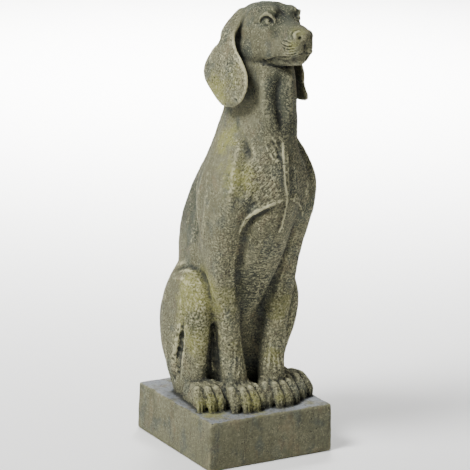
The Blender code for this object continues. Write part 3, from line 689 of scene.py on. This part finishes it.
def tooling_tree():
    """Low waves, the marks of the tool and open air holes over a skin, fading out at its base."""
    tree = bpy.data.node_groups.new("tooled casting", "GeometryNodeTree")
    sizes = {
        "Wave Height": mm(0.7),
        "Wave Length": mm(18),
        "Tool Depth": mm(0.8),
        "Tool Spacing": mm(2.1),
        "Hole Spacing": HOLE_SPACING,
        "Hole Radius": mm(1.7),
        "Hole Depth": mm(1.0),
    }
    tree.interface.new_socket("Geometry", in_out="INPUT", socket_type="NodeSocketGeometry")
    for name, size in sizes.items():
        socket = tree.interface.new_socket(name, in_out="INPUT", socket_type="NodeSocketFloat")
        socket.default_value = size
    tree.interface.new_socket("Seed", in_out="INPUT", socket_type="NodeSocketInt").default_value = 7
    tree.interface.new_socket("Stone", in_out="INPUT", socket_type="NodeSocketMaterial")
    tree.interface.new_socket("Geometry", in_out="OUTPUT", socket_type="NodeSocketGeometry")

    given = node(tree, "NodeGroupInput").outputs
    place = node(tree, "GeometryNodeInputPosition").outputs[0]
    normal = node(tree, "GeometryNodeInputNormal").outputs[0]
    tooth = node(tree, "GeometryNodeInputNamedAttribute", {"Name": "tooth"}).outputs["Attribute"]
    height = node(tree, "ShaderNodeSeparateXYZ", {0: place}).outputs["Z"]
    clear = node(tree, "ShaderNodeMapRange", {"Value": height, "From Max": BASE_EDGE}).outputs[0]

    def moved(skin, lift, toward):
        """The skin moved along its normals by a lift, in full where it is clear of the base."""
        lift = node(tree, "ShaderNodeMath", {0: lift, 1: clear}, operation="MULTIPLY").outputs[0]
        lift = node(tree, "ShaderNodeMath", {0: lift, 1: toward}, operation="MULTIPLY").outputs[0]
        scaled = {0: normal, "Scale": lift}
        offset = node(tree, "ShaderNodeVectorMath", scaled, operation="SCALE").outputs[0]
        return node(tree, "GeometryNodeSetPosition", {"Geometry": skin, "Offset": offset}).outputs[0]

    skin = given["Geometry"]
    passes = (("Wave Length", "Wave Height", None), ("Tool Spacing", "Tool Depth", tooth))
    for length, depth, share in passes:
        share_of_one = {0: 1.0, 1: given[length]}
        scale = node(tree, "ShaderNodeMath", share_of_one, operation="DIVIDE").outputs[0]
        laid = {"Vector": place, "Scale": scale, "Detail": 1.0}
        waves = node(tree, "ShaderNodeTexNoise", laid).outputs[0]
        level = {"Value": waves, "To Min": -1.0}
        lift = node(tree, "ShaderNodeMapRange", level, clamp=False).outputs[0]
        if share:
            lift = node(tree, "ShaderNodeMath", {0: lift, 1: share}, operation="MULTIPLY").outputs[0]
        skin = moved(skin, lift, given[depth])

    cloud = node(tree, "ShaderNodeTexNoise", {"Vector": place, "Scale": 1 / mm(22)}).outputs[0]
    thick = {"Value": cloud, "From Min": 0.5, "From Max": 0.7}
    flocks = node(tree, "ShaderNodeMapRange", thick).outputs[0]
    flocks = node(tree, "ShaderNodeMath", {0: flocks, 1: tooth}, operation="MULTIPLY").outputs[0]
    seeds = node(
        tree,
        "GeometryNodeDistributePointsOnFaces",
        {
            "Mesh": skin,
            "Distance Min": given["Hole Spacing"],
            "Density Max": 1 / HOLE_SPACING**2,
            "Density Factor": flocks,
            "Seed": given["Seed"],
        },
        distribute_method="POISSON",
    ).outputs["Points"]
    nearest = node(tree, "GeometryNodeProximity", {0: seeds}, target_element="POINTS")
    apart = nearest.outputs["Distance"]
    hole = node(
        tree,
        "ShaderNodeMapRange",
        {"Value": apart, "From Min": given["Hole Radius"], "From Max": mm(0.3)},
        interpolation_type="SMOOTHSTEP",
    ).outputs[0]
    stored = {"Geometry": skin, "Name": "hole", "Value": hole}
    skin = node(tree, "GeometryNodeStoreNamedAttribute", stored).outputs[0]
    turned = {0: given["Hole Depth"], 1: -1.0}
    inward = node(tree, "ShaderNodeMath", turned, operation="MULTIPLY").outputs[0]
    hole = node(tree, "GeometryNodeInputNamedAttribute", {"Name": "hole"}).outputs["Attribute"]
    skin = moved(skin, hole, inward)
    skin = node(tree, "GeometryNodeRealizeInstances", {"Geometry": skin}).outputs[0]
    coated = {"Geometry": skin, "Material": given["Stone"]}
    skin = node(tree, "GeometryNodeSetMaterial", coated).outputs[0]
    node(tree, "NodeGroupOutput", {"Geometry": skin})
    return tree


def roughen(piece, stone):
    tooled = piece.modifiers.new("tooled", "NODES")
    tooled.node_group = tooling_tree()
    sockets = {item.name: item.identifier for item in tooled.node_group.interface.items_tree}
    tooled[sockets["Stone"]] = stone
    settle(piece)


# The stone

def srgb(code):
    """A hex sRGB colour in linear light."""
    parts = [int(code[k : k + 2], 16) / 255 for k in (1, 3, 5)]
    return tuple(c / 12.92 if c <= 0.04045 else ((c + 0.055) / 1.055) ** 2.4 for c in parts) + (1,)


LAYERS = (
    "fine_hollow",
    "broad_hollow",
    "occlusion_shade",
    "worn_and_highlit",
    "moss",
    "grime_and_shade",
    "pit",
    "tooth",
    "top_tone_and_light",
    "across",
    "down",
    "slant",
    "block",
    "hole",
)


def cast_stone():
    """Cast magnesia stone, stained and left outdoors. The eye sees a dead matt skin, worked with a
    blunt tool, with a dark wash and painted shade in the low and shut-in spots, pale high spots from
    wear and painted highlight, a block top paled partly by painted top light, and moss on what sticks
    out."""
    stone = bpy.data.materials.new("weathered cast magnesia stone")
    stone.use_nodes = True
    tree = stone.node_tree
    surface = tree.nodes["Principled BSDF"]
    spot = node(tree, "ShaderNodeTexCoord").outputs["Object"]

    at_point = {}
    for name in LAYERS:
        at_point[name] = node(tree, "ShaderNodeAttribute", attribute_name=name).outputs["Fac"]

    # Patterns: a cell's sides in millimetres and its turn in degrees, then detail, roughness and
    # distortion. Tool marks lie about 3.5 mm apart and sand 1.5 mm. Hair runs along the long sides
    # of its cell
    patterns = {
        "tool": ((1.8, 1.8, 1.8), (0, 0, 0), 2.0, 0.55, 0.6),
        "sand": ((0.75, 0.75, 0.75), (0, 0, 0), 1.0, 0.5, 0.0),
        "hair_across": ((9, 9, 1.6), (0, 0, 0), 1.0, 0.5, 0.6),
        "hair_down": ((1.7, 1.7, 7), (0, 0, 0), 1.0, 0.5, 0.6),
        "hair_slant": ((1.9, 1.9, 7), (0, 45, -30), 1.0, 0.5, 0.4),
        "areas": ((13, 13, 13), (0, 0, 0), 2.0, 0.5, 0.0),
        "clouds": ((45, 45, 45), (0, 0, 0), 3.0, 0.55, 0.0),
        "cold": ((24, 24, 34), (0, 0, 0), 3.0, 0.55, 0.0),
        "tan": ((18, 18, 26), (0, 0, 0), 3.0, 0.6, 0.0),
        "growth": ((11, 11, 11), (0, 0, 0), 4.0, 0.65, 0.0),
        "streaks": ((5, 5, 40), (0, 0, 0), 2.0, 0.5, 0.0),
        "dust": ((3.6, 3.6, 3.6), (0, 0, 0), 3.0, 0.7, 0.0),
    }
    for name, (cell, turn, detail, roughness, distortion) in patterns.items():
        sizes = {
            "Vector": spot,
            "Scale": tuple(mm(side) for side in cell),
            "Rotation": tuple(math.radians(angle) for angle in turn),
        }
        laid = node(tree, "ShaderNodeMapping", sizes, vector_type="TEXTURE").outputs[0]
        form = {
            "Vector": laid,
            "Scale": 1.0,
            "Detail": detail,
            "Roughness": roughness,
            "Distortion": distortion,
        }
        at_point[name] = node(tree, "ShaderNodeTexNoise", form).outputs["Fac"]

    # Sums and products of what is known at a point: name, operation, and what goes in
    for name, operation, *sources in (
        ("marks", "MULTIPLY_ADD", "sand", 0.35, "tool"),
        ("marks", "SUBTRACT", "marks", 0.675),
        ("grained", "MULTIPLY_ADD", "areas", 2.2, -0.45),
        ("grained", "MAXIMUM", "grained", 0.30),
        ("grained", "MULTIPLY", "grained", "tooth"),
        ("marks", "MULTIPLY", "marks", "grained"),
        ("hair", "SUBTRACT", "hair_across", 0.5),
        ("hair", "MULTIPLY", "hair", "across"),
        ("strands", "SUBTRACT", "hair_down", 0.5),
        ("strands", "MULTIPLY", "strands", "down"),
        ("combed", "SUBTRACT", "hair_slant", 0.5),
        ("combed", "MULTIPLY", "combed", "slant"),
        ("marks", "ADD", "marks", "hair"),
        ("marks", "ADD", "marks", "strands"),
        ("marks", "ADD", "marks", "combed"),
        ("growing", "MULTIPLY_ADD", "moss", 0.8, "growth"),
        ("cold_and_top_light", "MULTIPLY_ADD", "top_tone_and_light", 0.45, "cold"),
        ("running", "MULTIPLY", "streaks", "block"),
        ("uneven", "SUBTRACT", "dust", 0.5),
        ("relief", "MULTIPLY_ADD", "uneven", 0.55, "fine_hollow"),
        ("rubbed_and_highlit", "SUBTRACT", 0.5, "relief"),
        ("rubbed_and_highlit", "MULTIPLY", "rubbed_and_highlit", "worn_and_highlit"),
        ("soiled_and_shaded", "MULTIPLY_ADD", "grime_and_shade", 0.8, "growth"),
    ):
        inputs = {k: at_point[s] if isinstance(s, str) else s for k, s in enumerate(sources)}
        at_point[name] = node(tree, "ShaderNodeMath", inputs, operation=operation).outputs[0]

    # Stains, painted shade and painted highlights, each over the last: what it follows, from, to, its
    # strength and its colour
    colour = srgb("#5f5e48")
    for source, low, high, strength, code in (
        ("clouds", 0.40, 0.60, 0.8, "#6c6b54"),
        ("cold", 0.50, 0.64, 0.7, "#4b5149"),
        # Paler, bluer block top: partly its own grey, partly painted top light
        ("cold_and_top_light", 0.72, 0.95, 0.9, "#7e8288"),
        ("tan", 0.54, 0.70, 0.4, "#75674e"),
        ("growing", 0.60, 1.05, 0.85, "#828147"),
        ("running", 0.52, 0.66, 0.3, "#3a392e"),
        ("dust", 0.50, 0.36, 0.30, "#3b3a2f"),
        ("dust", 0.52, 0.66, 0.30, "#96937a"),
        # Grime and painted shade
        ("soiled_and_shaded", 0.58, 1.20, 0.75, "#33382f"),
        ("marks", -0.01, -0.11, 0.55, "#272822"),
        ("marks", 0.01, 0.12, 0.52, "#b2af8a"),
        # Painted shade in the deep grooves and broad hollows
        ("broad_hollow", 0.56, 0.98, 0.55, "#32373a"),
        # Painted shade where the figure shuts a place in
        ("occlusion_shade", 0.15, 0.80, 0.40, "#2b302f"),
        # Dark in the fine hollows: partly a dark wash, partly painted shade
        ("relief", 0.58, 0.90, 0.72, "#242622"),
        # Pale high spots: partly real wear, partly painted highlight
        ("rubbed_and_highlit", 0.07, 0.38, 0.75, "#c6c29a"),
        # Painted shade in the air holes
        ("hole", 0.25, 0.90, 0.80, "#1b1b15"),
        # Painted shade in the small open holes
        ("pit", 0.25, 0.80, 0.90, "#121210"),
    ):
        share = node(
            tree,
            "ShaderNodeMapRange",
            {"Value": at_point[source], "From Min": low, "From Max": high, "To Max": strength},
            interpolation_type="SMOOTHSTEP",
        ).outputs["Result"]
        mixed = {0: share, 6: colour, 7: srgb(code)}
        colour = node(tree, "ShaderNodeMix", mixed, data_type="RGBA").outputs[2]
    tree.links.new(colour, surface.inputs["Base Color"])
    surface.inputs["Roughness"].default_value = 0.85
    surface.inputs["Specular IOR Level"].default_value = 0.3

    # The marks swing over about a third of the bump's full height, so they look 0.8 mm deep. The sand
    # lies over them
    raised = {"Height": at_point["marks"], "Strength": 1.0, "Distance": mm(2.6)}
    worked = node(tree, "ShaderNodeBump", raised).outputs["Normal"]
    gritty = {"Height": at_point["sand"], "Strength": 0.5, "Distance": mm(0.5), "Normal": worked}
    tree.links.new(node(tree, "ShaderNodeBump", gritty).outputs["Normal"], surface.inputs["Normal"])
    return stone


def thin_out(piece):
    """Brings the skin down to its triangles. The face and the toes keep their full grain."""
    triangles = 2 * len(piece.data.polygons)
    if triangles <= SKIN_TRIANGLES:
        return
    places = read_vectors(piece.data.vertices, "co") - np.array(on_head(*FACE_CENTRE))
    face = (places * places).sum(axis=1) < (FACE_REACH * FIGURE_HEIGHT) ** 2
    _, y, z = shares_of(piece).T
    toes = (z > BLOCK_SKIN) & (z < 0.050) & (y < -0.035)
    free = piece.vertex_groups.new(name="free to thin")
    free.add(np.nonzero(~face & ~toes)[0].tolist(), 1.0, "REPLACE")
    thin = piece.modifiers.new("thin", "DECIMATE")
    thin.ratio = SKIN_TRIANGLES / triangles
    thin.vertex_group = free.name
    settle(piece)


def statue():
    noise.seed_set(WAVER_SEED)
    piece = merged_copy("dog_statue")
    regrain(piece, GRAIN)
    strokes = face_strokes() + body_strokes() + plinth_strokes()
    for foot in FEET:
        strokes += foot_strokes(*foot)
    carve(piece, strokes)
    mark_weather_and_light(piece)
    roughen(piece, cast_stone())
    mark_hollows(piece)
    thin_out(piece)
    mark_occlusion_shade(piece)
    piece.vertex_groups.clear()
    piece.data.shade_smooth()
    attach(piece, "root")
    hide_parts("dog_statue")


# Floor, light and camera

def floor():
    """A wide smooth floor in pale matt paint, which the eye takes for an even ground."""
    data = bpy.data.meshes.new("floor")
    half = 4.0
    corners = [(-half, -half, 0), (half, -half, 0), (half, half, 0), (-half, half, 0)]
    data.from_pydata(corners, [], [(0, 1, 2, 3)])
    ground = bpy.data.objects.new("floor", data)
    bpy.context.scene.collection.objects.link(ground)
    paint = bpy.data.materials.new("pale matt floor")
    paint.use_nodes = True
    surface = paint.node_tree.nodes["Principled BSDF"]
    surface.inputs["Base Color"].default_value = srgb("#f6f6f4")
    surface.inputs["Roughness"].default_value = 0.9
    data.materials.append(paint)


# Soft lights: place, what each looks at, size, power and the spread of its beam in degrees
LIGHTS = {
    "key": ((-1.85, -0.30, 2.6), (0, 0, 0.3), 1.1, 160, 180),
    "rim": ((1.0, 1.5, 2.6), (0, 0, 0.3), 0.8, 26, 180),
    "backdrop": ((1.3, 2.4, 2.6), (1.3, 2.4, 0), 2.5, 330, 85),
}


def lights():
    world = bpy.data.worlds.new("pale studio")
    world.use_nodes = True
    background = world.node_tree.nodes["Background"]
    background.inputs["Color"].default_value = (1, 1, 1, 1)
    background.inputs["Strength"].default_value = 0.2
    bpy.context.scene.world = world
    for name, (place, target, size, power, spread) in LIGHTS.items():
        lamp = bpy.data.lights.new(name, "AREA")
        lamp.shape = "DISK"
        lamp.size = size
        lamp.energy = power
        lamp.spread = math.radians(spread)
        holder = bpy.data.objects.new(name, lamp)
        holder.location = place
        holder.rotation_euler = (Vector(target) - Vector(place)).to_track_quat("-Z", "Y").to_euler()
        bpy.context.scene.collection.objects.link(holder)


# The view: where the camera stands round the dog and above it, its roll, and what it looks at
AZIMUTH = math.radians(30.41)
ELEVATION = math.radians(14.6)
ROLL = math.radians(-1.3)
DISTANCE = 3.0801
TARGET = Vector((-0.0045, 0, 0.2828))


def camera():
    lens = bpy.data.cameras.new("camera")
    lens.sensor_width = 36
    lens.lens = 180
    view = bpy.data.objects.new("camera", lens)
    bpy.context.scene.collection.objects.link(view)
    level = math.cos(ELEVATION)
    back = Vector((-math.sin(AZIMUTH) * level, -math.cos(AZIMUTH) * level, math.sin(ELEVATION)))
    right = Vector((math.cos(AZIMUTH), -math.sin(AZIMUTH), 0))
    up = back.cross(right)
    across = right * math.cos(ROLL) - up * math.sin(ROLL)
    above = right * math.sin(ROLL) + up * math.cos(ROLL)
    pose = Matrix((across, above, back)).transposed().to_4x4()
    pose.translation = TARGET + back * DISTANCE
    view.matrix_world = pose
    bpy.context.scene.camera = view


statue()
floor()
lights()
camera()
